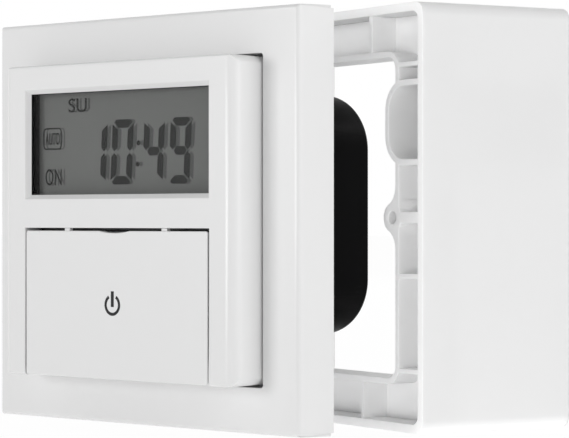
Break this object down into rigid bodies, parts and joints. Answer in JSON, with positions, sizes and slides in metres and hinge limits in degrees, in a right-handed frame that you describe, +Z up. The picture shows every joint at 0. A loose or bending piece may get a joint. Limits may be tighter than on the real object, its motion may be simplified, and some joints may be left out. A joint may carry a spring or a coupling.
{
  "type": "in-wall timer switch",
  "caption": "Square in-wall timer switch: raised display module with a hinged flap over its keys, cover frame, black wall-box housing, and a loose ribbed box for surface mounting.",
  "frame": {"origin": "middle of the support ring's screw slots, on the wall plane", "axes": "+X to the right seen from the front, +Y into the wall, +Z up"},
  "size_m": [0.1027, 0.0886, 0.0827],
  "materials": {
    "white_gloss": "smooth moulded white",
    "white_satin": "satin moulded white",
    "key_white": "satin",
    "key_grey": "satin",
    "fascia": "printed sheet",
    "black_plastic": "fine texture",
    "stem": "plain",
    "steel": "zinc plated",
    "lens": "clear",
    "lcd": "grey reflective display",
    "elastomer": "soft",
    "board_green": "solder mask",
    "board_brown": "plain laminate",
    "relay_blue": "smooth",
    "capacitor_yellow": "smooth",
    "sleeve_blue": "shrink sleeve",
    "resistor_green": "lacquer",
    "brass": "plated"
  },
  "bodies": {
    "timer": {"cover_frame": "white_gloss", "front_bezel": "white_gloss", "display_lens": "lens", "lcd_panel": "lcd", "lcd_holder": "black_plastic", "contact_strips": "elastomer", "key_fascia": "fascia", "push_switches": "black_plastic", "display_board": "board_green", "board_screws": "steel", "controller": "black_plastic", "clock_crystal": "steel", "backup_cell": "steel", "pin_header": "black_plastic", "header_socket": "black_plastic", "support_ring": "steel", "rear_housing": "black_plastic", "housing_screws": "steel", "power_board": "board_brown", "power_board_screws": "steel", "relay": "relay_blue", "mains_capacitor": "capacitor_yellow", "smoothing_capacitor": "sleeve_blue", "varistor": "sleeve_blue", "fusible_resistor": "resistor_green", "rectifier": "black_plastic", "terminal_block": "black_plastic", "terminal_clamps": "brass", "terminal_screws": "steel"},
    "flap_hinge": {"flap_pins": "steel", "power_plunger": "key_white", "power_stem": "stem"},
    "flap": {"flap": "white_gloss"},
    "day_button": {"day_key": "key_grey", "day_stem": "stem"},
    "hour_button": {"hour_key": "key_grey", "hour_stem": "stem"},
    "minute_button": {"minute_key": "key_grey", "minute_stem": "stem"},
    "program_button": {"program_key": "key_grey", "program_stem": "stem"},
    "reset": {"reset_button": "key_grey", "reset_stem": "stem"},
    "surface_box": {"surface_box": "white_satin"}
  },
  "joints": [
    {"name": "flap_press", "type": "hinge", "parent": "timer", "child": "flap_hinge", "pos_m": [0, -0.0163, -0.0288], "axis": [1, 0, 0], "range_deg": [-0.9, 0], "stiffness_Nm_per_rad": 0.15},
    {"name": "flap_open", "type": "hinge", "parent": "flap_hinge", "child": "flap", "pos_m": [0, -0.0163, -0.0288], "axis": [1, 0, 0], "range_deg": [0, 115]},
    {"name": "day_press", "type": "slide", "parent": "timer", "child": "day_button", "axis": [0, 1, 0], "range_m": [0, 0.0003], "stiffness_N_per_m": 400},
    {"name": "hour_press", "type": "slide", "parent": "timer", "child": "hour_button", "axis": [0, 1, 0], "range_m": [0, 0.0003], "stiffness_N_per_m": 400},
    {"name": "minute_press", "type": "slide", "parent": "timer", "child": "minute_button", "axis": [0, 1, 0], "range_m": [0, 0.0003], "stiffness_N_per_m": 400},
    {"name": "program_press", "type": "slide", "parent": "timer", "child": "program_button", "axis": [0, 1, 0], "range_m": [0, 0.0003], "stiffness_N_per_m": 400},
    {"name": "reset_press", "type": "slide", "parent": "timer", "child": "reset", "axis": [0, 1, 0], "range_m": [0, 0.0003], "stiffness_N_per_m": 400},
    {"name": "box_away", "type": "slide", "parent": "timer", "child": "surface_box", "axis": [0.2874, 0.9578, 0], "range_m": [0, 0.03]}
  ]
}
